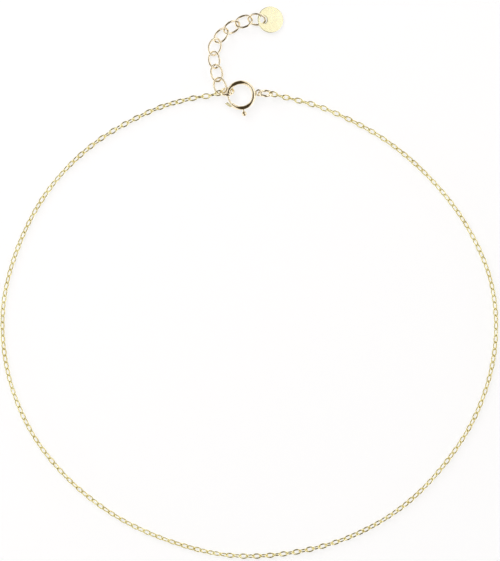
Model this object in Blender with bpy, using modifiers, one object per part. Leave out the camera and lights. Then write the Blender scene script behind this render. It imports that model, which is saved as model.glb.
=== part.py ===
# Chain anklet: a fine cable chain closed by a spring ring, with an extender of larger links and a plain tag.
# The loop lies flat on Z = 0. +X is right and +Y is up, as the anklet is seen from above.
import math

import bmesh
import bpy
from mathutils import Matrix, Vector

MM = 0.001

# The size of the whole loop: the chain's way and the clasp's place are given in shares of its width.
LOOP_WIDTH = 82.5 * MM
LOOP_UNIT = LOOP_WIDTH / 82.5

# Chain: a fine cable chain, whose envelope is the round tube that stands for it here.
CHAIN_WIDTH = 1.05 * MM
CHAIN_LINK_LENGTH = 1.64 * MM
CHAIN_WIRE = 0.24 * MM
CHAIN_END_GAP = 0.30 * MM
CHAIN_POINTS = 78
CHAIN_POINT_SPACINGS = 24

# The chain's way round, from its left end to its right end, in loop units from the origin.
CHAIN_ROUTE = [
    (-10.1, 30.5), (-16.7, 28.4), (-25.8, 23.2), (-33.3, 15.8), (-38.5, 6.5), (-41.3, -4.0),
    (-40.7, -14.8), (-36.9, -24.9), (-30.5, -33.2), (-22.3, -39.6), (-13.1, -43.8), (-3.3, -46.1),
    (6.8, -45.7), (16.6, -43.1), (25.6, -38.0), (32.9, -30.6), (38.4, -21.6), (41.2, -11.2),
    (40.6, -0.5), (36.4, 9.3), (30.0, 17.5), (22.2, 24.0), (13.3, 28.6), (6.8, 30.6),
]

# Spring ring: a hollow tube bent round, open at one side, with the bolt inside it.
CLASP_CENTRE = (-1.43 * LOOP_UNIT, 31.11 * LOOP_UNIT)
CLASP_HEIGHT = 1.05 * MM
CLASP_RADIUS = 2.15 * MM
CLASP_TUBE = 0.70 * MM
CLASP_BORE = 0.45 * MM
CLASP_MOUTH_ANGLE = 225.0
CLASP_SEAT_ANGLE = 183.0
BORE_PAST_ENDS = 6.0

# The bolt turns about the ring's centre; its tip is in the seat when the clasp is shut.
BOLT_CLEARANCE = 0.065 * MM
BOLT_TIP_ANGLE = 178.0
BOLT_TAIL_ANGLE = 292.0
BOLT_TRAVEL = 46.0
KNOB_ANGLE = 280.0
KNOB_SIZE = 0.84 * MM
KNOB_FLATNESS = 0.75
KNOB_STANDOFF = 0.24 * MM
STEM_WIRE = 0.26 * MM
SLOT_CLEARANCE = 0.07 * MM

# The stop tab gives the finger something to pull against: a small plate soldered to the outside
# of the tube at its mouth, which reaches back over the mouth and drops outwards.
TAB_THICKNESS = 0.34 * MM
TAB_SEAT = 0.10 * MM
TAB_REACH = 0.42 * MM
TAB_ROOT = 0.34 * MM
TAB_OVERHANG = 0.92 * MM
TAB_TAPER = 0.18 * MM
TAB_DROP = 14.0

# The eyelet is soldered to the outside of the tube.
EYELET_ANGLE = 8.0
EYELET_WIRE = 0.26 * MM
EYELET_HOLE = 0.68 * MM
EYELET_PULL = 0.05 * MM
SOLDER_DEPTH = 0.09 * MM

# Jump rings: each leans on the surface, its top towards -Y.
JUMP_RING_SIZE = 2.60 * MM
JUMP_RING_WIRE = 0.44 * MM
END_RING_HOOK_ANGLE = 163.0
END_RING_INSET = 0.30 * MM
END_RING_YAW = 8.0
END_RING_LEAN = 57.0
CLASP_RING_YAW = -3.0
CLASP_RING_LEAN = 64.0

# The places on the jump rings where the links hang, in degrees round each ring.
CHAIN_LEFT_HANG = 180.0
EXTENDER_HANG = 213.0
CHAIN_RIGHT_HANG = 0.0

# End links of the chain, two at each end, going away from the jump ring: (heading, climb, roll).
CHAIN_CLEARANCE = 0.05 * MM
CHAIN_LEFT_LINKS = [(196, -5, -19), (196, -8, -103)]
CHAIN_RIGHT_LINKS = [(-15, -5, 19), (-15, -8, 103)]

# Extender links, going away from the jump ring: (heading, climb, roll).
EXTENDER_LINK_LENGTH = 3.20 * MM
EXTENDER_LINK_WIDTH = 2.50 * MM
EXTENDER_WIRE = 0.36 * MM
EXTENDER_CLEARANCE = 0.22 * MM
EXTENDER_LINKS = [
    (107, 4, -24), (101, 5, 30), (101, -6, -34), (74, 2, 23),
    (47, 5, -33), (29, -4, 38), (22, 0, -26), (-4, 2, 36),
]

# Tag: a plain round disc, hung by its hole on the last link and lying with its far edge down.
TAG_SIZE = 4.40 * MM
TAG_THICKNESS = 0.36 * MM
TAG_HOLE = 1.30 * MM
TAG_HOLE_MARGIN = 0.35 * MM
TAG_ROUNDING = 0.08 * MM
TAG_HEADING = 3.0

LINK_SIDES = 16
WIRE_RESOLUTION = 1
CHAIN_RESOLUTION = 2
TUBE_RESOLUTION = 4
ARC_STEP = 7.5
WELD_DISTANCE = 0.0002 * MM
EYELET_SIDES = 8
STEM_SIDES = 12
KNOB_SEGMENTS = 20
KNOB_RINGS = 12
TAG_SIDES = 48
TAG_HOLE_SIDES = 24
TAG_ROUNDING_SEGMENTS = 2

GOLD = (0.86, 0.70, 0.42)
PALE_GOLD = (0.90, 0.78, 0.52)
WARM_GOLD = (0.84, 0.63, 0.36)


def clearScene():
    for item in list(bpy.data.objects):
        bpy.data.objects.remove(item, do_unlink=True)


def newCollection(name):
    collection = bpy.data.collections.new(name)
    bpy.context.scene.collection.children.link(collection)
    return collection


def newMaterial(name, colour, roughness):
    material = bpy.data.materials.new(name)
    material.use_nodes = True
    shader = material.node_tree.nodes["Principled BSDF"]
    shader.inputs["Base Color"].default_value = (*colour, 1.0)
    shader.inputs["Metallic"].default_value = 1.0
    shader.inputs["Roughness"].default_value = roughness
    return material


def addPart(name, data, material, collection):
    part = bpy.data.objects.new(name, data)
    collection.objects.link(part)
    data.materials.clear()
    data.materials.append(material)
    return part


def shadeSmooth(mesh, angle=35.0):
    mesh.shade_smooth()
    mesh.set_sharp_from_angle(angle=math.radians(angle))


def linkFrame(heading, climb, roll):
    """Unit vectors along a link, across it and off its face, from three angles in degrees."""
    turn, rise, tip = (math.radians(angle) for angle in (heading, climb, roll))
    along = Vector((math.cos(turn) * math.cos(rise), math.sin(turn) * math.cos(rise), math.sin(rise)))
    level = Vector((-math.sin(turn), math.cos(turn), 0.0))
    across = level * math.cos(tip) + along.cross(level) * math.sin(tip)
    return along, across, along.cross(across)


def wireCurve(name, points, wire, cyclic, resolution):
    curve = bpy.data.curves.new(name, "CURVE")
    curve.dimensions = "3D"
    curve.bevel_depth = wire / 2
    curve.bevel_resolution = resolution
    curve.use_fill_caps = not cyclic
    spline = curve.splines.new("POLY")
    spline.points.add(len(points) - 1)
    for place, point in zip(spline.points, points):
        place.co = (*point, 1.0)
    spline.use_cyclic_u = cyclic
    spline.use_smooth = True
    return curve


def ovalPoints(length, width, wire, axes):
    """The wire's centre line on an oval link, about the link's own centre."""
    along, across, _ = axes
    points = []
    for index in range(LINK_SIDES):
        angle = 2 * math.pi * index / LINK_SIDES
        points.append(
            along * (math.cos(angle) * (length - wire) / 2) + across * (math.sin(angle) * (width - wire) / 2)
        )
    return points


def addLink(name, centre, length, width, wire, axes, material, collection):
    points = ovalPoints(length, width, wire, axes)
    link = addPart(name, wireCurve(name, points, wire, True, WIRE_RESOLUTION), material, collection)
    link.location = centre
    return link


def linkRun(start, rows, length, wire, clearance):
    """Centres, axes and the far contact point of links that hang in each other, one row of angles each."""
    pitch = length - 2 * wire - clearance
    contact = start.copy()
    places = []
    for heading, climb, roll in rows:
        axes = linkFrame(heading, climb, roll)
        places.append((contact + axes[0] * (pitch / 2), axes))
        contact = contact + axes[0] * pitch
    return places, contact


def arcPoints(radius, startAngle, endAngle, height=0.0):
    steps = max(1, round(abs(endAngle - startAngle) / ARC_STEP))
    points = []
    for index in range(steps + 1):
        angle = math.radians(startAngle + (endAngle - startAngle) * index / steps)
        points.append(Vector((radius * math.cos(angle), radius * math.sin(angle), height)))
    return points


def meshFromCurve(name, curve, material, collection, location):
    """A closed mesh object in place of a curve, with its caps welded."""
    temporary = bpy.data.objects.new(name + "_curve", curve)
    collection.objects.link(temporary)
    temporary.location = location
    bpy.context.view_layer.update()
    evaluated = temporary.evaluated_get(bpy.context.evaluated_depsgraph_get())
    mesh = bpy.data.meshes.new_from_object(evaluated)
    mesh.name = name
    shape = bmesh.new()
    shape.from_mesh(mesh)
    bmesh.ops.remove_doubles(shape, verts=shape.verts, dist=WELD_DISTANCE)
    bmesh.ops.recalc_face_normals(shape, faces=shape.faces)
    shape.to_mesh(mesh)
    shape.free()
    solid = addPart(name, mesh, material, collection)
    solid.matrix_world = temporary.matrix_world
    bpy.data.objects.remove(temporary, do_unlink=True)
    return solid


def outlineCurve(name, points, thickness):
    """A flat closed outline in its own XY plane, given a thickness."""
    curve = bpy.data.curves.new(name, "CURVE")
    curve.dimensions = "2D"
    curve.fill_mode = "BOTH"
    curve.extrude = thickness / 2
    spline = curve.splines.new("POLY")
    spline.points.add(len(points) - 1)
    for place, point in zip(spline.points, points):
        place.co = (point[0], point[1], 0.0, 1.0)
    spline.use_cyclic_u = True
    return curve


def asTool(tool):
    tool.hide_render = True
    tool.display_type = "WIRE"


def combine(target, tool, operation):
    modifier = target.modifiers.new(operation.title() + "_" + tool.name, "BOOLEAN")
    modifier.operation = operation
    modifier.solver = "EXACT"
    modifier.object = tool
    asTool(tool)


def polar(radius, angle):
    return Vector((radius * math.cos(math.radians(angle)), radius * math.sin(math.radians(angle)), 0.0))


def jumpRingFrame(yaw, lean):
    """Unit vectors level along a leaning ring and up its slope, and the height of its centre."""
    level = polar(1.0, yaw)
    downhill = Vector((level.y, -level.x, 0.0))
    slope = math.radians(lean)
    upSlope = downhill * math.cos(slope) + Vector((0, 0, math.sin(slope)))
    height = (JUMP_RING_SIZE - JUMP_RING_WIRE) / 2 * math.sin(slope) + JUMP_RING_WIRE / 2
    return level, upSlope, height


def onJumpRing(centre, frame, angle):
    """The wire's centre at an angle round a jump ring, 0 at its right and 90 at its top."""
    level, upSlope, _ = frame
    place = polar((JUMP_RING_SIZE - JUMP_RING_WIRE) / 2, angle)
    return centre + level * place.x + upSlope * place.y


def hungFrom(centre, frame, angle, firstRow, clearance):
    """The contact point of a link that hangs on a jump ring and leads away from it."""
    along = linkFrame(*firstRow)[0]
    return onJumpRing(centre, frame, angle) - along * ((JUMP_RING_WIRE + clearance) / 2)


def addJumpRing(name, centre, frame, material, collection):
    axes = (frame[0], frame[1], frame[0].cross(frame[1]))
    addLink(name, centre, JUMP_RING_SIZE, JUMP_RING_SIZE, JUMP_RING_WIRE, axes, material, collection)


def smoothPath(points, count):
    """Evenly spaced points on a smooth curve through the given ones, ends included."""
    ends = [points[0] * 2 - points[1]] + points + [points[-1] * 2 - points[-2]]
    fine = []
    for before, first, second, after in zip(ends, ends[1:], ends[2:], ends[3:]):
        for index in range(CHAIN_POINT_SPACINGS):
            t = index / CHAIN_POINT_SPACINGS
            fine.append(
                0.5
                * (
                    2 * first
                    + (second - before) * t
                    + (2 * before - 5 * first + 4 * second - after) * t**2
                    + (3 * first - before - 3 * second + after) * t**3
                )
            )
    fine.append(points[-1])
    travelled = [0.0]
    for first, second in zip(fine, fine[1:]):
        travelled.append(travelled[-1] + (second - first).length)
    even = []
    place = 0
    for index in range(count):
        wanted = travelled[-1] * index / (count - 1)
        while place < len(fine) - 2 and travelled[place + 1] < wanted:
            place += 1
        share = (wanted - travelled[place]) / (travelled[place + 1] - travelled[place])
        even.append(fine[place].lerp(fine[place + 1], share))
    return even


def buildClaspRing(parts, cutters, material):
    centre = Vector((*CLASP_CENTRE, CLASP_HEIGHT))
    tube = wireCurve(
        "clasp_ring",
        arcPoints(CLASP_RADIUS, CLASP_MOUTH_ANGLE, CLASP_SEAT_ANGLE + 360),
        CLASP_TUBE,
        False,
        TUBE_RESOLUTION,
    )
    ring = meshFromCurve("clasp_ring", tube, material, parts, centre)

    eyeletRadius = (EYELET_HOLE + EYELET_WIRE) / 2
    bpy.ops.mesh.primitive_torus_add(
        major_radius=eyeletRadius,
        minor_radius=EYELET_WIRE / 2,
        major_segments=LINK_SIDES,
        minor_segments=EYELET_SIDES,
        location=eyeletCentre(),
    )
    eyelet = bpy.context.object
    eyelet.name = "eyelet"
    moveTo(eyelet, cutters)
    combine(ring, eyelet, "UNION")

    seat = CLASP_RADIUS + CLASP_TUBE / 2 - TAB_SEAT
    reach = TAB_SEAT + TAB_REACH
    outline = [
        (0.0, TAB_ROOT),
        (reach - TAB_TAPER, TAB_ROOT / 3),
        (reach, -TAB_OVERHANG),
        (0.0, TAB_TAPER - TAB_OVERHANG),
    ]
    plate = outlineCurve("stop_tab", outline, TAB_THICKNESS)
    tab = meshFromCurve("stop_tab", plate, material, cutters, centre)
    turn = Matrix.Rotation(math.radians(CLASP_MOUTH_ANGLE), 4, "Z")
    drop = Matrix.Rotation(math.radians(TAB_DROP), 4, "Y")
    tab.matrix_world = tab.matrix_world @ turn @ Matrix.Translation((seat, 0.0, 0.0)) @ drop
    combine(ring, tab, "UNION")

    bore = wireCurve(
        "bore",
        arcPoints(
            CLASP_RADIUS,
            CLASP_MOUTH_ANGLE - BORE_PAST_ENDS,
            CLASP_SEAT_ANGLE + 360 + BORE_PAST_ENDS,
        ),
        CLASP_BORE,
        False,
        TUBE_RESOLUTION,
    )
    combine(ring, meshFromCurve("bore", bore, material, cutters, centre), "DIFFERENCE")

    width = STEM_WIRE + 2 * SLOT_CLEARANCE
    spare = math.degrees((width / 2) / (CLASP_RADIUS + CLASP_TUBE / 2))
    first, last = KNOB_ANGLE - spare, KNOB_ANGLE + BOLT_TRAVEL + spare
    outerArc = arcPoints(CLASP_RADIUS + CLASP_TUBE, first, last)
    innerArc = arcPoints(CLASP_RADIUS, last, first)
    slot = meshFromCurve("slot", outlineCurve("slot", outerArc + innerArc, width), material, cutters, centre)
    combine(ring, slot, "DIFFERENCE")
    shadeSmooth(ring.data)


def eyeletCentre():
    reach = CLASP_RADIUS + CLASP_TUBE / 2 + EYELET_HOLE / 2 + EYELET_WIRE - SOLDER_DEPTH
    return Vector((*CLASP_CENTRE, CLASP_HEIGHT)) + polar(reach, EYELET_ANGLE)


def moveTo(item, collection):
    for owner in list(item.users_collection):
        owner.objects.unlink(item)
    collection.objects.link(item)


def buildTrigger(parts, cutters, material):
    """Bolt, stem and knob in one piece, with its origin on the axis that it turns about."""
    centre = Vector((*CLASP_CENTRE, CLASP_HEIGHT))
    wire = CLASP_BORE - 2 * BOLT_CLEARANCE
    arc = arcPoints(CLASP_RADIUS, BOLT_TIP_ANGLE, BOLT_TAIL_ANGLE)
    bolt = wireCurve("clasp_trigger", arc, wire, False, TUBE_RESOLUTION)
    trigger = meshFromCurve("clasp_trigger", bolt, material, parts, centre)

    knobRadius = CLASP_RADIUS + CLASP_TUBE / 2 + KNOB_STANDOFF + KNOB_SIZE / 2
    bpy.ops.mesh.primitive_cylinder_add(
        vertices=STEM_SIDES,
        radius=STEM_WIRE / 2,
        depth=knobRadius - CLASP_RADIUS,
        location=centre + polar((knobRadius + CLASP_RADIUS) / 2, KNOB_ANGLE),
        rotation=(0.0, math.pi / 2, math.radians(KNOB_ANGLE)),
    )
    stem = bpy.context.object
    stem.name = "stem"
    moveTo(stem, cutters)
    combine(trigger, stem, "UNION")

    bpy.ops.mesh.primitive_uv_sphere_add(
        segments=KNOB_SEGMENTS,
        ring_count=KNOB_RINGS,
        radius=KNOB_SIZE / 2,
        location=centre + polar(knobRadius, KNOB_ANGLE),
    )
    knob = bpy.context.object
    knob.name = "knob"
    knob.scale.z = KNOB_FLATNESS
    moveTo(knob, cutters)
    combine(trigger, knob, "UNION")
    shadeSmooth(trigger.data)


def buildTag(holePlace, parts, cutters, material):
    """A disc whose hole is at the last link's end and whose far edge rests on Z = 0."""
    toHole = TAG_SIZE / 2 - TAG_HOLE_MARGIN - TAG_HOLE / 2
    reach = toHole + TAG_SIZE / 2
    tilt = math.asin((holePlace.z - TAG_THICKNESS / 2) / reach)
    turn = Matrix.Rotation(math.radians(TAG_HEADING), 4, "Z") @ Matrix.Rotation(tilt, 4, "Y")
    bpy.ops.mesh.primitive_cylinder_add(vertices=TAG_SIDES, radius=TAG_SIZE / 2, depth=TAG_THICKNESS)
    tag = bpy.context.object
    tag.name = "end_tag"
    tag.data.materials.append(material)
    moveTo(tag, parts)
    bpy.ops.mesh.primitive_cylinder_add(vertices=TAG_HOLE_SIDES, radius=TAG_HOLE / 2, depth=TAG_SIZE)
    hole = bpy.context.object
    hole.name = "tag_hole"
    moveTo(hole, cutters)
    hole.parent = tag
    hole.location = (-toHole, 0.0, 0.0)
    combine(tag, hole, "DIFFERENCE")
    rounding = tag.modifiers.new("Rounding", "BEVEL")
    rounding.width = TAG_ROUNDING
    rounding.segments = TAG_ROUNDING_SEGMENTS
    rounding.limit_method = "ANGLE"
    rounding.angle_limit = math.radians(40)
    tag.matrix_world = Matrix.Translation(holePlace) @ turn @ Matrix.Translation((toHole, 0.0, 0.0))
    shadeSmooth(tag.data)


def buildChain(start, end, startAxis, endAxis, parts, material):
    """The tube that the fine chain fills, from one pair of end links to the other."""
    gap = CHAIN_WIRE + CHAIN_CLEARANCE / 2 + CHAIN_END_GAP
    level = CHAIN_WIDTH / 2
    middle = [Vector((x * LOOP_UNIT, y * LOOP_UNIT, level)) for x, y in CHAIN_ROUTE]
    route = [start + startAxis * gap] + middle + [end + endAxis * gap]
    points = smoothPath(route, CHAIN_POINTS)
    for point in points:
        point.z = max(point.z, level)
    addPart("chain", wireCurve("chain", points, CHAIN_WIDTH, False, CHAIN_RESOLUTION), material, parts)


def addLinkRun(names, places, length, width, wire, material, parts):
    for name, (centre, axes) in zip(names, places):
        addLink(name, centre, length, width, wire, axes, material, parts)


def main():
    clearScene()
    parts = newCollection("chain_anklet")
    cutters = newCollection("cutters")
    gold = newMaterial("gold", GOLD, 0.22)
    paleGold = newMaterial("pale_gold", PALE_GOLD, 0.25)
    warmGold = newMaterial("warm_gold", WARM_GOLD, 0.18)

    buildClaspRing(parts, cutters, warmGold)
    buildTrigger(parts, cutters, warmGold)

    hook = Vector((*CLASP_CENTRE, 0.0)) + polar(CLASP_RADIUS, END_RING_HOOK_ANGLE)
    endFrame = jumpRingFrame(END_RING_YAW, END_RING_LEAN)
    endCentre = hook - endFrame[0] * END_RING_INSET
    endCentre.z = endFrame[2]
    addJumpRing("end_jump_ring", endCentre, endFrame, gold, parts)

    claspFrame = jumpRingFrame(CLASP_RING_YAW, CLASP_RING_LEAN)
    drop = (CLASP_HEIGHT - claspFrame[2]) / claspFrame[1].z
    along = math.sqrt(((JUMP_RING_SIZE - JUMP_RING_WIRE) / 2) ** 2 - drop**2)
    claspCentre = eyeletCentre() + claspFrame[0] * (along + EYELET_PULL) - claspFrame[1] * drop
    addJumpRing("clasp_jump_ring", claspCentre, claspFrame, gold, parts)

    chainSize = (CHAIN_LINK_LENGTH, CHAIN_WIDTH, CHAIN_WIRE)
    leftHang = hungFrom(endCentre, endFrame, CHAIN_LEFT_HANG, CHAIN_LEFT_LINKS[0], CHAIN_CLEARANCE)
    leftPlaces, leftEnd = linkRun(leftHang, CHAIN_LEFT_LINKS, CHAIN_LINK_LENGTH, CHAIN_WIRE, CHAIN_CLEARANCE)
    addLinkRun(["chain_link_left_1", "chain_link_left_2"], leftPlaces, *chainSize, paleGold, parts)
    rightHang = hungFrom(claspCentre, claspFrame, CHAIN_RIGHT_HANG, CHAIN_RIGHT_LINKS[0], CHAIN_CLEARANCE)
    rightPlaces, rightEnd = linkRun(
        rightHang, CHAIN_RIGHT_LINKS, CHAIN_LINK_LENGTH, CHAIN_WIRE, CHAIN_CLEARANCE
    )
    addLinkRun(["chain_link_right_1", "chain_link_right_2"], rightPlaces, *chainSize, paleGold, parts)
    buildChain(leftEnd, rightEnd, leftPlaces[-1][1][0], rightPlaces[-1][1][0], parts, paleGold)

    first = hungFrom(endCentre, endFrame, EXTENDER_HANG, EXTENDER_LINKS[0], EXTENDER_CLEARANCE)
    places, tagPlace = linkRun(
        first, EXTENDER_LINKS, EXTENDER_LINK_LENGTH, EXTENDER_WIRE, EXTENDER_CLEARANCE
    )
    names = [f"extender_link_{number}" for number in range(1, len(EXTENDER_LINKS) + 1)]
    addLinkRun(names, places, EXTENDER_LINK_LENGTH, EXTENDER_LINK_WIDTH, EXTENDER_WIRE, gold, parts)
    buildTag(tagPlace, parts, cutters, gold)


main()
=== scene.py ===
import math

import bmesh
import bpy
from mathutils import Matrix, Vector


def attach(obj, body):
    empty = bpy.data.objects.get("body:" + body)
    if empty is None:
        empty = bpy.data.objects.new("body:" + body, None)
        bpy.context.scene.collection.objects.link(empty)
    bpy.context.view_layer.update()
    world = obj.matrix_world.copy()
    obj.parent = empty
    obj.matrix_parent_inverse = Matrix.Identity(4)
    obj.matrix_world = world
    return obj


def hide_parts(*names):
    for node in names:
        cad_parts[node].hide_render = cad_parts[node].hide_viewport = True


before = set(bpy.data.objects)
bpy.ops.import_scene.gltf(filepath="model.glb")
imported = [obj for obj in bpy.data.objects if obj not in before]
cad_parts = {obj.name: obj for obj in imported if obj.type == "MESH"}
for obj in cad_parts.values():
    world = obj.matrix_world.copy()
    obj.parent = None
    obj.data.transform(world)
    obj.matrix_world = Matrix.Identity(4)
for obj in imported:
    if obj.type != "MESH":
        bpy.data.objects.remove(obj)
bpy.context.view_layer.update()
mm = 0.001
print("anklet: solids loaded")


# Shader maths: a socket in a wrapper, so that sums on it add Math nodes.
class Wire:
    def __init__(self, paint, socket):
        self.paint = paint
        self.socket = socket

    def sum(self, operation, first, second):
        return self.paint.node("ShaderNodeMath", {"operation": operation}, {0: first, 1: second})

    def __add__(self, other):
        return self.sum("ADD", self, other)

    def __radd__(self, other):
        return self.sum("ADD", other, self)

    def __sub__(self, other):
        return self.sum("SUBTRACT", self, other)

    def __rsub__(self, other):
        return self.sum("SUBTRACT", other, self)

    def __mul__(self, other):
        return self.sum("MULTIPLY", self, other)

    def __rmul__(self, other):
        return self.sum("MULTIPLY", other, self)


class Paint:
    def __init__(self, tree):
        self.tree = tree

    def feed(self, value, socket):
        if isinstance(value, Wire):
            self.tree.links.new(value.socket, socket)
        else:
            socket.default_value = value

    def node(self, kind, settings=None, inputs=None, output=0):
        made = self.tree.nodes.new(kind)
        for name, value in (settings or {}).items():
            if name == "stops":
                ramp = made.color_ramp.elements
                while len(ramp) < len(value):
                    ramp.new(0.5)
                for stop, (place, colour) in zip(ramp, value):
                    stop.position = place
                    stop.color = (*colour, 1.0)
            else:
                setattr(made, name, value)
        for name, value in (inputs or {}).items():
            self.feed(value, made.inputs[name])
        return Wire(self, made.outputs[output])

    def place(self):
        return self.node("ShaderNodeTexCoord", output="Object")

    def noise(self, place, scale, detail):
        return self.node("ShaderNodeTexNoise", {}, {"Vector": place, "Scale": scale, "Detail": detail})

    def dot(self, first, second):
        return self.node("ShaderNodeVectorMath", {"operation": "DOT_PRODUCT"}, {0: first, 1: second}, "Value")

    def ramp(self, value, start, end):
        return self.node(
            "ShaderNodeMapRange",
            {"interpolation_type": "SMOOTHSTEP"},
            {"Value": value, "From Min": start, "From Max": end},
        )

    def blend(self, share, first, second):
        return self.node(
            "ShaderNodeMix",
            {"data_type": "RGBA", "blend_type": "MIX"},
            {0: share, 6: first, 7: second},
            output=2,
        )


def goldFinish(name, looks):
    # Cast and polished gold: slow drift between two tones, fine polish marks and a little haze.
    material = bpy.data.materials.new(name)
    material.use_nodes = True
    shader = material.node_tree.nodes["Principled BSDF"]
    paint = Paint(material.node_tree)
    place = paint.place()
    drift = paint.noise(place, looks["driftScale"], looks["driftDetail"])
    haze = paint.noise(place, looks["hazeScale"], looks["hazeDetail"])
    brushed = paint.node("ShaderNodeMapping", {}, {"Vector": place, "Scale": looks["markStretch"]})
    marks = paint.noise(brushed, looks["markScale"], looks["markDetail"])
    stops = [(looks["driftLow"], looks["deep"]), (looks["driftHigh"], looks["bright"])]
    tone = paint.node("ShaderNodeValToRGB", {"stops": stops}, {0: drift})
    colour = paint.blend(haze * looks["hazeTint"], tone, (*looks["worn"], 1.0))
    paint.feed(colour, shader.inputs["Base Color"])
    paint.feed(looks["roughness"] + (haze - 0.5) * looks["roughnessSpread"], shader.inputs["Roughness"])
    bump = paint.node(
        "ShaderNodeBump",
        {},
        {"Strength": looks["markDepth"], "Distance": looks["markHeight"], "Height": marks},
    )
    paint.feed(bump, shader.inputs["Normal"])
    shader.inputs["Metallic"].default_value = 1.0
    return material


goldLooks = {
    "driftScale": 260.0,  # slow tone drift, in waves of about 4 mm
    "driftDetail": 3.0,
    "driftLow": 0.35,  # the noise value with the deep tone, and the one with the bright tone
    "driftHigh": 0.62,
    "hazeScale": 2600.0,  # haze in spots of about 0.4 mm
    "hazeDetail": 4.0,
    "hazeTint": 0.25,
    "markStretch": (1.0, 6.0, 1.0),  # polish marks run along X
    "markScale": 3500.0,
    "markDetail": 2.0,
    "markDepth": 0.25,
    "markHeight": 0.01 * mm,
    "roughness": 0.16,
    "roughnessSpread": 0.12,
}
chainGold = goldFinish(
    "fineChainGold",
    {**goldLooks, "deep": (0.86, 0.77, 0.41), "bright": (0.95, 0.89, 0.54), "worn": (0.91, 0.82, 0.45)},
)
linkGold = goldFinish(
    "extenderGold",
    {**goldLooks, "deep": (0.88, 0.78, 0.56), "bright": (0.96, 0.88, 0.70), "worn": (0.92, 0.80, 0.60)},
)
claspGold = goldFinish(
    "springRingGold",
    {
        **goldLooks,
        "deep": (0.90, 0.80, 0.58),
        "bright": (0.97, 0.90, 0.72),
        "worn": (0.93, 0.82, 0.62),
        "roughness": 0.07,
        "roughnessSpread": 0.05,
        "markDepth": 0.12,
    },
)
tagGold = goldFinish(
    "tagGold",
    {
        **goldLooks,
        "deep": (0.70, 0.67, 0.44),
        "bright": (0.80, 0.78, 0.56),
        "worn": (0.75, 0.71, 0.49),
        "roughness": 0.26,
        "markDepth": 0.35,
    },
)
print("anklet: gold finishes mixed")


def finishPiece(shape, name, material, body="anklet", smooth=40.0):
    # A finished mesh becomes a piece that rides on its body.
    mesh = bpy.data.meshes.new(name)
    shape.to_mesh(mesh)
    shape.free()
    mesh.materials.append(material)
    mesh.shade_smooth()
    mesh.set_sharp_from_angle(angle=math.radians(smooth))
    piece = bpy.data.objects.new(name, mesh)
    bpy.context.scene.collection.objects.link(piece)
    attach(piece, body)
    return piece


def turned(angle):
    return Vector((math.cos(math.radians(angle)), math.sin(math.radians(angle)), 0.0))


def linkAxes(heading, climb, roll):
    # Along the link, across it and off its face, from three angles in degrees.
    turn, rise, tip = (math.radians(angle) for angle in (heading, climb, roll))
    along = Vector((math.cos(turn) * math.cos(rise), math.sin(turn) * math.cos(rise), math.sin(rise)))
    level = Vector((-math.sin(turn), math.cos(turn), 0.0))
    across = level * math.cos(tip) + along.cross(level) * math.sin(tip)
    return along, across, along.cross(across)


def placeOf(centre, axes):
    along, across, off = axes
    return Matrix.Translation(centre) @ Matrix((along, across, off)).transposed().to_4x4()


def spunWire(wire, radius, section, start, sweep, steps, filled=False, closed=False):
    # A round section stood up at a radius and spun about Z, from start over sweep degrees.
    shape = bmesh.new()
    bmesh.ops.create_circle(shape, segments=section, radius=wire / 2, cap_ends=filled)
    standing = Matrix.Rotation(math.radians(90.0), 3, "X")
    bmesh.ops.rotate(shape, verts=shape.verts, cent=(0, 0, 0), matrix=standing)
    bmesh.ops.translate(shape, verts=shape.verts, vec=(radius, 0, 0))
    facing = Matrix.Rotation(math.radians(start), 3, "Z")
    bmesh.ops.rotate(shape, verts=shape.verts, cent=(0, 0, 0), matrix=facing)
    bmesh.ops.spin(
        shape,
        geom=shape.verts[:] + shape.edges[:] + shape.faces[:],
        cent=(0, 0, 0),
        axis=(0, 0, 1),
        angle=math.radians(sweep),
        steps=steps,
        use_merge=closed,
    )
    bmesh.ops.recalc_face_normals(shape, faces=shape.faces)
    return shape


def wireRing(length, width, wire, around, section, seam=0.0):
    # A wire ring drawn out to an oval; a seam, in degrees, leaves the ring cut.
    cut = seam > 0
    shape = spunWire(wire, (width - wire) / 2, section, 0.0, 360.0 - seam, around, filled=cut, closed=not cut)
    stretch = (length - width) / 2
    for corner in shape.verts:
        corner.co.x += stretch * corner.co.x / corner.co.xy.length
    return shape


def addShape(target, shape, place):
    # Copies one shape into another at a place.
    mesh = bpy.data.meshes.new("part")
    shape.to_mesh(mesh)
    before = len(target.verts)
    target.from_mesh(mesh)
    target.verts.ensure_lookup_table()
    bmesh.ops.transform(target, matrix=place, verts=target.verts[before:])
    bpy.data.meshes.remove(mesh)


sharpEdge = math.radians(60.0)  # edges sharper than this are rounded

# The spring ring
springRing = {
    "centre": Vector((-1.43, 31.11, 1.05)) * mm,
    "radius": 2.15 * mm,
    "tube": 0.70 * mm,
    "wall": 0.125 * mm,
    "mouth": 225.0,  # the tube runs from the mouth round to the seat, in degrees from +X
    "seat": 183.0,
    "step": 3.0,
    "section": 24,
    "slotStart": 276.0,
    "slotEnd": 330.0,
    "slotHalfWidth": 0.20 * mm,
    "eyeletAngle": 8.0,
    "eyeletHole": 0.68 * mm,
    "eyeletWire": 0.26 * mm,
    "eyeletAround": 40,
    "eyeletSection": 14,
    "rimRounding": 0.03 * mm,
    "solderDepth": 0.09 * mm,  # how far the eyelet sinks into the tube
    "solderSize": (0.15 * mm, 0.26 * mm, 0.15 * mm),
    "solderOut": 0.02 * mm,
    "tabThickness": 0.34 * mm,
    "tabSeat": 0.10 * mm,
    "tabReach": 0.42 * mm,
    "tabRoot": 0.34 * mm,
    "tabShoulder": 1 / 3,  # its outer edge starts this share of the root along
    "tabOverhang": 0.92 * mm,
    "tabTaper": 0.18 * mm,
    "tabRounding": 0.05 * mm,
    "tabDrop": 14.0,  # its outer end dips, so it catches the light
}


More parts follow.
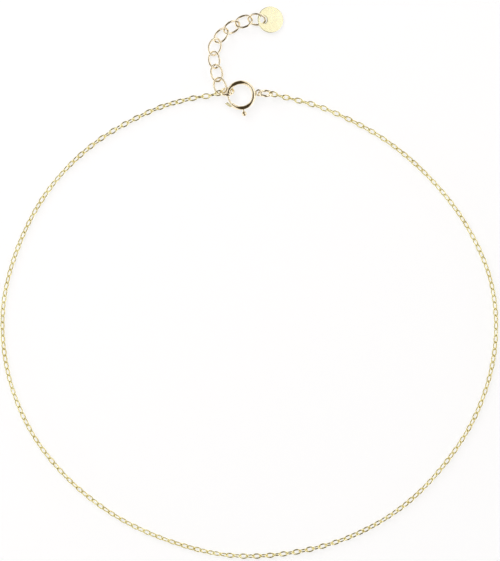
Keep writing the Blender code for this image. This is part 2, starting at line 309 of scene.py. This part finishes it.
def eyeletPlace():
    ring = springRing
    outside = ring["radius"] + ring["tube"] / 2
    reach = outside + ring["eyeletHole"] / 2 + ring["eyeletWire"] - ring["solderDepth"]
    return ring["centre"] + turned(ring["eyeletAngle"]) * reach


def buildSpringRing():
    ring = springRing
    sweep = ring["seat"] + 360.0 - ring["mouth"]
    steps = round(sweep / ring["step"])
    tube = spunWire(ring["tube"], ring["radius"], ring["section"], ring["mouth"], sweep, steps)
    # The slot for the stem is a row of faces taken out of the tube's outer side.
    inSlot = []
    for face in tube.faces:
        middle = face.calc_center_median()
        angle = math.degrees(math.atan2(middle.y, middle.x)) % 360.0
        outside = middle.xy.length > ring["radius"] and abs(middle.z) < ring["slotHalfWidth"]
        if outside and ring["slotStart"] < angle < ring["slotEnd"]:
            inSlot.append(face)
    bmesh.ops.delete(tube, geom=inSlot, context="FACES")
    # The wall goes inwards, so the outside keeps its size.
    bmesh.ops.solidify(tube, geom=tube.faces[:], thickness=ring["wall"])
    bmesh.ops.recalc_face_normals(tube, faces=tube.faces)
    rims = [edge for edge in tube.edges if edge.is_manifold and edge.calc_face_angle(0.0) > sharpEdge]
    bmesh.ops.bevel(
        tube,
        geom=rims,
        offset=ring["rimRounding"],
        segments=2,
        profile=0.5,
        affect="EDGES",
        material=-1,
        clamp_overlap=True,
    )
    shape = bmesh.new()
    addShape(shape, tube, Matrix.Translation(ring["centre"]))
    tube.free()

    size = ring["eyeletHole"] + 2 * ring["eyeletWire"]
    eyelet = wireRing(size, size, ring["eyeletWire"], ring["eyeletAround"], ring["eyeletSection"])
    addShape(shape, eyelet, Matrix.Translation(eyeletPlace()))
    eyelet.free()

    # Solder where the eyelet meets the tube.
    solder = bmesh.new()
    bmesh.ops.create_icosphere(solder, subdivisions=3, radius=1.0)
    bmesh.ops.scale(solder, verts=solder.verts, vec=ring["solderSize"])
    reach = ring["radius"] + ring["tube"] / 2 + ring["solderOut"]
    seat = Matrix.Translation(ring["centre"] + turned(ring["eyeletAngle"]) * reach)
    addShape(shape, solder, seat @ Matrix.Rotation(math.radians(ring["eyeletAngle"]), 4, "Z"))
    solder.free()

    # The stop tab, a small plate on the outside of the tube that reaches back over its mouth.
    tab = bmesh.new()
    bmesh.ops.create_cube(tab, size=1.0)
    reach = ring["tabSeat"] + ring["tabReach"]
    for corner in tab.verts:
        out, back = corner.co.x > 0, corner.co.y < 0
        if back:
            corner.co.x = reach if out else 0.0
            corner.co.y = -ring["tabOverhang"] + (0.0 if out else ring["tabTaper"])
        else:
            corner.co.x = reach - ring["tabTaper"] if out else 0.0
            corner.co.y = ring["tabRoot"] * ring["tabShoulder"] if out else ring["tabRoot"]
        corner.co.z *= ring["tabThickness"]
    rounding = ring["tabRounding"]
    bmesh.ops.bevel(
        tab, geom=tab.edges[:], offset=rounding, segments=1, profile=0.5, affect="EDGES", material=-1
    )
    for face in tab.faces:
        face.material_index = 1  # the tab is left matt
    mouth = Matrix.Translation(ring["centre"]) @ Matrix.Rotation(math.radians(ring["mouth"]), 4, "Z")
    root = Matrix.Translation((ring["radius"] + ring["tube"] / 2 - ring["tabSeat"], 0, 0))
    addShape(shape, tab, mouth @ root @ Matrix.Rotation(math.radians(ring["tabDrop"]), 4, "Y"))
    tab.free()
    piece = finishPiece(shape, "springRing", claspGold)
    piece.data.materials.append(tagGold)
    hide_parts("clasp_ring")


buildSpringRing()
print("anklet: spring ring made")

# The trigger: bolt, stem and knob
trigger = {
    "bolt": 0.32 * mm,
    "around": 16,
    "steps": 38,
    "tip": 178.0,
    "tail": 292.0,
    "knobAngle": 280.0,
    "knob": 0.84 * mm,
    "knobFlatness": 0.75,
    "knobSegments": 32,
    "knobRings": 20,
    "standoff": 0.24 * mm,
    "stem": 0.26 * mm,
}


def buildTrigger():
    radius = springRing["radius"]
    sweep = trigger["tail"] - trigger["tip"]
    bolt = spunWire(
        trigger["bolt"], radius, trigger["around"], trigger["tip"], sweep, trigger["steps"], filled=True
    )
    shape = bmesh.new()
    centre = Matrix.Translation(springRing["centre"])
    addShape(shape, bolt, centre)
    bolt.free()

    knobRadius = radius + springRing["tube"] / 2 + trigger["standoff"] + trigger["knob"] / 2
    turn = Matrix.Rotation(math.radians(trigger["knobAngle"]), 4, "Z")
    stem = bmesh.new()
    bmesh.ops.create_cone(
        stem,
        cap_ends=True,
        segments=trigger["around"],
        radius1=trigger["stem"] / 2,
        radius2=trigger["stem"] / 2,
        depth=knobRadius - radius,
    )
    middle = Matrix.Translation(((knobRadius + radius) / 2, 0, 0)) @ Matrix.Rotation(math.pi / 2, 4, "Y")
    addShape(shape, stem, centre @ turn @ middle)
    stem.free()
    knob = bmesh.new()
    bmesh.ops.create_uvsphere(
        knob, u_segments=trigger["knobSegments"], v_segments=trigger["knobRings"], radius=trigger["knob"] / 2
    )
    bmesh.ops.scale(knob, verts=knob.verts, vec=(1.0, 1.0, trigger["knobFlatness"]))
    addShape(shape, knob, centre @ turn @ Matrix.Translation((knobRadius, 0, 0)))
    knob.free()
    piece = finishPiece(shape, "springTrigger", claspGold, body="trigger")
    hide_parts("clasp_trigger")


buildTrigger()
print("anklet: trigger made")

# The two jump rings, which lean on the surface with their tops towards -Y
jumpRing = {
    "size": 2.60 * mm,
    "wire": 0.44 * mm,
    "seam": 1.2,  # the cut in each ring, in degrees
    "around": 72,
    "section": 14,
    "hookAngle": 163.0,
    "inset": 0.30 * mm,
    "endYaw": 8.0,
    "endLean": 57.0,
    "endSeamAt": 125.0,
    "claspYaw": -3.0,
    "claspLean": 64.0,
    "claspSeamAt": 60.0,
    "eyeletPull": 0.05 * mm,
}


def jumpRingAxes(yaw, lean):
    level = turned(yaw)
    downhill = Vector((level.y, -level.x, 0.0))
    slope = math.radians(lean)
    upSlope = downhill * math.cos(slope) + Vector((0, 0, math.sin(slope)))
    height = (jumpRing["size"] - jumpRing["wire"]) / 2 * math.sin(slope) + jumpRing["wire"] / 2
    return (level, upSlope, level.cross(upSlope)), height


def onJumpRing(centre, axes, angle):
    place = turned(angle) * (jumpRing["size"] - jumpRing["wire"]) / 2
    return centre + axes[0] * place.x + axes[1] * place.y


def buildJumpRing(name, node, centre, axes, seamAt):
    size = jumpRing["size"]
    ring = wireRing(size, size, jumpRing["wire"], jumpRing["around"], jumpRing["section"], jumpRing["seam"])
    shape = bmesh.new()
    addShape(shape, ring, placeOf(centre, axes) @ Matrix.Rotation(math.radians(seamAt), 4, "Z"))
    ring.free()
    piece = finishPiece(shape, name, linkGold)
    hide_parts(node)


hook = Vector((*springRing["centre"].xy, 0.0)) + turned(jumpRing["hookAngle"]) * springRing["radius"]
endAxes, endHeight = jumpRingAxes(jumpRing["endYaw"], jumpRing["endLean"])
endCentre = hook - endAxes[0] * jumpRing["inset"]
endCentre.z = endHeight
buildJumpRing("endJumpRing", "end_jump_ring", endCentre, endAxes, jumpRing["endSeamAt"])

claspAxes, claspHeight = jumpRingAxes(jumpRing["claspYaw"], jumpRing["claspLean"])
drop = (springRing["centre"].z - claspHeight) / claspAxes[1].z
sideways = math.sqrt(((jumpRing["size"] - jumpRing["wire"]) / 2) ** 2 - drop**2)
claspCentre = eyeletPlace() + claspAxes[0] * (sideways + jumpRing["eyeletPull"]) - claspAxes[1] * drop
buildJumpRing("claspJumpRing", "clasp_jump_ring", claspCentre, claspAxes, jumpRing["claspSeamAt"])
print("anklet: jump rings made")

# The extender: heading, climb and roll of each link, going away from the jump ring
extender = {
    "length": 3.20 * mm,
    "width": 2.50 * mm,
    "wire": 0.36 * mm,
    "clearance": 0.22 * mm,
    "hang": 213.0,
    "around": 64,
    "section": 12,
    "links": [
        (107, 4, -24), (101, 5, 30), (101, -6, -34), (74, 2, 23),
        (47, 5, -33), (29, -4, 38), (22, 0, -26), (-4, 2, 36),
    ],
}
firstAlong = linkAxes(*extender["links"][0])[0]
contact = onJumpRing(endCentre, endAxes, extender["hang"])
contact -= firstAlong * (jumpRing["wire"] + extender["clearance"]) / 2
pitch = extender["length"] - 2 * extender["wire"] - extender["clearance"]
for number, row in enumerate(extender["links"], 1):
    axes = linkAxes(*row)
    oval = wireRing(
        extender["length"], extender["width"], extender["wire"], extender["around"], extender["section"]
    )
    shape = bmesh.new()
    addShape(shape, oval, placeOf(contact + axes[0] * pitch / 2, axes))
    oval.free()
    piece = finishPiece(shape, f"extenderOval{number}", linkGold)
    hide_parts(f"extender_link_{number}")
    contact = contact + axes[0] * pitch
print("anklet: extender made")

# The tag: a plain disc on the last link, with its far edge on the surface
tag = {
    "size": 4.40 * mm,
    "thickness": 0.36 * mm,
    "hole": 1.30 * mm,
    "margin": 0.35 * mm,
    "rounding": 0.09 * mm,
    "heading": 3.0,
    "around": 96,
    "smoothBelow": 10.0,  # in degrees, low enough for the flat faces to stay flat up to the edge
}


def buildTag(hanging):
    toHole = tag["size"] / 2 - tag["margin"] - tag["hole"] / 2
    tilt = math.asin((hanging.z - tag["thickness"] / 2) / (toHole + tag["size"] / 2))
    disc = bmesh.new()
    bmesh.ops.create_circle(disc, segments=tag["around"], radius=tag["size"] / 2)
    hole = bmesh.ops.create_circle(disc, segments=tag["around"], radius=tag["hole"] / 2)["verts"]
    bmesh.ops.translate(disc, verts=hole, vec=(-toHole, 0, 0))
    bmesh.ops.bridge_loops(disc, edges=disc.edges[:])
    bmesh.ops.translate(disc, verts=disc.verts, vec=(0, 0, -tag["thickness"] / 2))
    extruded = bmesh.ops.extrude_face_region(disc, geom=disc.faces[:])["geom"]
    raised = [item for item in extruded if isinstance(item, bmesh.types.BMVert)]
    bmesh.ops.translate(disc, verts=raised, vec=(0, 0, tag["thickness"]))
    bmesh.ops.recalc_face_normals(disc, faces=disc.faces)
    edges = [edge for edge in disc.edges if edge.calc_face_angle(0.0) > sharpEdge]
    bmesh.ops.bevel(
        disc, geom=edges, offset=tag["rounding"], segments=4, profile=0.5, affect="EDGES", material=-1
    )
    turn = Matrix.Rotation(math.radians(tag["heading"]), 4, "Z") @ Matrix.Rotation(tilt, 4, "Y")
    shape = bmesh.new()
    addShape(shape, disc, Matrix.Translation(hanging) @ turn @ Matrix.Translation((toHole, 0, 0)))
    disc.free()
    piece = finishPiece(shape, "plainTag", tagGold, smooth=tag["smoothBelow"])
    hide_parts("end_tag")


buildTag(contact)
print("anklet: tag made")

# The fine chain: every link hangs in the next one, at nearly a right angle to it
chain = {
    "length": 1.64 * mm,
    "width": 1.05 * mm,
    "wire": 0.24 * mm,
    "clearance": 0.05 * mm,
    "links": 217,
    "around": 20,
    "section": 6,
    "leftHang": 180.0,
    "rightHang": 0.0,
    "leftLinks": [(196, -5, -19), (196, -8, -103)],
    "rightLinks": [(-15, -5, 19), (-15, -8, 103)],
    "turn": 84.0,  # every second link is rolled this much from the one before
    # The slow twist along the chain: link number and roll.
    "twist": [
        (0, -19.0), (3, -24.0), (9, -66.0), (18, -68.0), (30, -48.0), (60, -49.0), (84, -46.0),
        (101, -47.0), (106, -68.0), (118, -72.0), (126, -50.0), (150, -46.0), (172, -49.0), (196, -46.0),
        (210, -24.0), (216, -19.0),
    ],
    "jitter": 4.0,  # a small wave on top of the twist, which fades out over the end links
    "jitterStep": 2.4,
    "jitterFade": 6,
    # The middle of the chain on the surface, in mm, from the left ring round to the right one.
    "route": [
        (-10.1, 30.5), (-16.7, 28.4), (-25.8, 23.2), (-33.3, 15.8), (-38.5, 6.5), (-41.3, -4.0),
        (-40.7, -14.8), (-36.9, -24.9), (-30.5, -33.2), (-22.3, -39.6), (-13.1, -43.8), (-3.3, -46.1),
        (6.8, -45.7), (16.6, -43.1), (25.6, -38.0), (32.9, -30.6), (38.4, -21.6), (41.2, -11.2),
        (40.6, -0.5), (36.4, 9.3), (30.0, 17.5), (22.2, 24.0), (13.3, 28.6), (6.8, 30.6),
    ],
}


def smoothPath(points, spacings=24):
    # A smooth curve through the points, read off in small steps.
    ends = [points[0] * 2 - points[1]] + points + [points[-1] * 2 - points[-2]]
    fine = []
    for before, first, second, after in zip(ends, ends[1:], ends[2:], ends[3:]):
        for index in range(spacings):
            t = index / spacings
            bend = 2 * before - 5 * first + 4 * second - after
            twist = 3 * first - before - 3 * second + after
            fine.append(0.5 * (2 * first + (second - before) * t + bend * t**2 + twist * t**3))
    fine.append(points[-1])
    return fine


def evenPoints(fine, count):
    # Points at even distances along a path, both ends included.
    travelled = [0.0]
    for first, second in zip(fine, fine[1:]):
        travelled.append(travelled[-1] + (second - first).length)
    even = []
    at = 0
    for index in range(count):
        wanted = travelled[-1] * index / (count - 1)
        while at < len(fine) - 2 and travelled[at + 1] < wanted:
            at += 1
        share = (wanted - travelled[at]) / (travelled[at + 1] - travelled[at])
        even.append(fine[at].lerp(fine[at + 1], share))
    return even, travelled[-1]


def hangRun(centre, axes, angle, rows):
    # Contact points of the end links, going away from a jump ring.
    pitch = chain["length"] - 2 * chain["wire"] - chain["clearance"]
    along = linkAxes(*rows[0])[0]
    points = [onJumpRing(centre, axes, angle) - along * (jumpRing["wire"] + chain["clearance"]) / 2]
    for row in rows:
        points.append(points[-1] + linkAxes(*row)[0] * pitch)
    return points


def twistAt(index):
    for (first, before), (last, after) in zip(chain["twist"], chain["twist"][1:]):
        if index <= last:
            return before + (after - before) * (index - first) / (last - first)


def buildFineChain():
    left = hangRun(endCentre, endAxes, chain["leftHang"], chain["leftLinks"])
    right = hangRun(claspCentre, claspAxes, chain["rightHang"], chain["rightLinks"])
    level = chain["width"] / 2
    middle = [Vector((x * mm, y * mm, level)) for x, y in chain["route"]]
    contacts, length = evenPoints(smoothPath(left + middle + right[::-1]), chain["links"] + 1)
    print("anklet: chain of", chain["links"], "links,", round(length / mm, 1), "mm")
    oval = wireRing(chain["length"], chain["width"], chain["wire"], chain["around"], chain["section"])
    shape = bmesh.new()
    for index, (first, second) in enumerate(zip(contacts, contacts[1:])):
        way = second - first
        heading = math.degrees(math.atan2(way.y, way.x))
        climb = math.degrees(math.asin(way.z / way.length))
        toEnd = min(index, chain["links"] - 1 - index)
        fade = min(1.0, toEnd / chain["jitterFade"])
        jitter = chain["jitter"] * math.sin(index * chain["jitterStep"]) * fade
        roll = twistAt(index) + jitter - (chain["turn"] if index % 2 else 0.0)
        axes = linkAxes(heading, climb, roll)
        addShape(shape, oval, placeOf((first + second) / 2, axes))
    oval.free()
    piece = finishPiece(shape, "fineChain", chainGold, smooth=180.0)
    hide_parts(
        "chain", "chain_link_left_1", "chain_link_left_2", "chain_link_right_1", "chain_link_right_2"
    )


buildFineChain()
print("anklet: fine chain made")

# Studio: a white surface, a bright room with some dark parts for the gold to mirror, a soft light up left
studio = {
    "imageHeight": 561,
    "pixel": 0.168 * mm,
    "middle": (0.08 * mm, 0.03 * mm),
    "cameraHeight": 0.60,
    "sensor": 24.0,
    "clip": (0.005, 10.0),
    "floorSize": 1.2,
    "floorColour": (0.30, 0.30, 0.31, 1.0),
    "floorRoughness": 0.6,
    "floorGlow": 0.695,  # the surface gives off light of its own, so shadows on it stay faint
    "floorDrop": 0.02 * mm,
    "roomStrength": 1.85,
    "gapStrength": 0.06,
    "gapHeading": 107.0,  # a dark gap runs overhead from the top of the picture to its foot
    "gapInside": 0.25,
    "gapOutside": 0.47,
    "ledgeLow": 0.30,  # a dark ledge runs all round, part of the way up
    "ledgeHigh": 0.62,
    "ledgeSoftness": 0.05,
    "holeHeading": 150.0,  # a dark round patch sits between overhead and the upper left
    "holeLean": 24.0,
    "holeInside": 0.93,  # cosines of the angles from its middle, dark inside and bright outside
    "holeOutside": 0.88,
    "gapColour": (1.0, 0.75, 0.48, 1.0),
    "roomColour": (1.0, 0.99, 0.98, 1.0),
    "lightPower": 2.7,
    "lightSize": 0.5,
    "lightPlace": (-0.28, 0.30, 0.45),
}


def buildStudio():
    floorShape = bmesh.new()
    bmesh.ops.create_grid(floorShape, x_segments=1, y_segments=1, size=studio["floorSize"] / 2)
    bmesh.ops.translate(floorShape, verts=floorShape.verts, vec=(0, 0, -studio["floorDrop"]))
    mesh = bpy.data.meshes.new("surface")
    floorShape.to_mesh(mesh)
    floorShape.free()
    surface = bpy.data.objects.new("surface", mesh)
    bpy.context.scene.collection.objects.link(surface)
    material = bpy.data.materials.new("whiteSurface")
    material.use_nodes = True
    shader = material.node_tree.nodes["Principled BSDF"]
    shader.inputs["Base Color"].default_value = studio["floorColour"]
    shader.inputs["Roughness"].default_value = studio["floorRoughness"]
    shader.inputs["Emission Color"].default_value = (1.0, 1.0, 1.0, 1.0)
    shader.inputs["Emission Strength"].default_value = studio["floorGlow"]
    mesh.materials.append(material)

    world = bpy.data.worlds.new("brightRoom")
    world.use_nodes = True
    bpy.context.scene.world = world
    paint = Paint(world.node_tree)
    background = world.node_tree.nodes["Background"]
    looking = paint.node("ShaderNodeTexCoord", output="Generated")
    acrossGap = turned(studio["gapHeading"] - 90.0)
    across = paint.dot(looking, acrossGap)
    sideways = paint.node("ShaderNodeMath", {"operation": "ABSOLUTE"}, {0: across})
    height = paint.node("ShaderNodeSeparateXYZ", {}, {0: looking}, "Z")
    soft = studio["ledgeSoftness"]
    beside = paint.ramp(sideways, studio["gapInside"], studio["gapOutside"])
    above = paint.ramp(height, studio["ledgeHigh"] - soft, studio["ledgeHigh"] + soft)
    below = paint.ramp(height, studio["ledgeLow"] + soft, studio["ledgeLow"] - soft)
    lean = math.radians(studio["holeLean"])
    toHole = turned(studio["holeHeading"]) * math.sin(lean) + Vector((0, 0, math.cos(lean)))
    around = paint.ramp(paint.dot(looking, toHole), studio["holeInside"], studio["holeOutside"])
    bright = beside * around * (above + below)
    room = studio["gapStrength"] + bright * (studio["roomStrength"] - studio["gapStrength"])
    seen = paint.node("ShaderNodeLightPath", output="Is Camera Ray")
    tint = paint.blend(bright + seen, studio["gapColour"], studio["roomColour"])
    paint.feed(room * (1.0 - seen) + seen, background.inputs["Strength"])
    paint.feed(tint, background.inputs["Color"])

    lamp = bpy.data.lights.new("softbox", "AREA")
    lamp.shape = "SQUARE"
    lamp.size = studio["lightSize"]
    lamp.energy = studio["lightPower"]
    softbox = bpy.data.objects.new("softbox", lamp)
    softbox.visible_glossy = False
    softbox.location = studio["lightPlace"]
    softbox.rotation_euler = (Vector((0, 0, 0)) - softbox.location).to_track_quat("-Z", "Y").to_euler()
    bpy.context.scene.collection.objects.link(softbox)

    lens = bpy.data.cameras.new("overhead")
    lens.sensor_fit = "VERTICAL"
    lens.sensor_height = studio["sensor"]
    lens.lens = lens.sensor_height * studio["cameraHeight"] / (studio["pixel"] * studio["imageHeight"])
    lens.clip_start, lens.clip_end = studio["clip"]
    camera = bpy.data.objects.new("overhead", lens)
    camera.location = (*studio["middle"], studio["cameraHeight"])
    bpy.context.scene.collection.objects.link(camera)
    bpy.context.scene.camera = camera
    bpy.context.scene.view_settings.view_transform = "Standard"


buildStudio()
print("anklet: studio set")
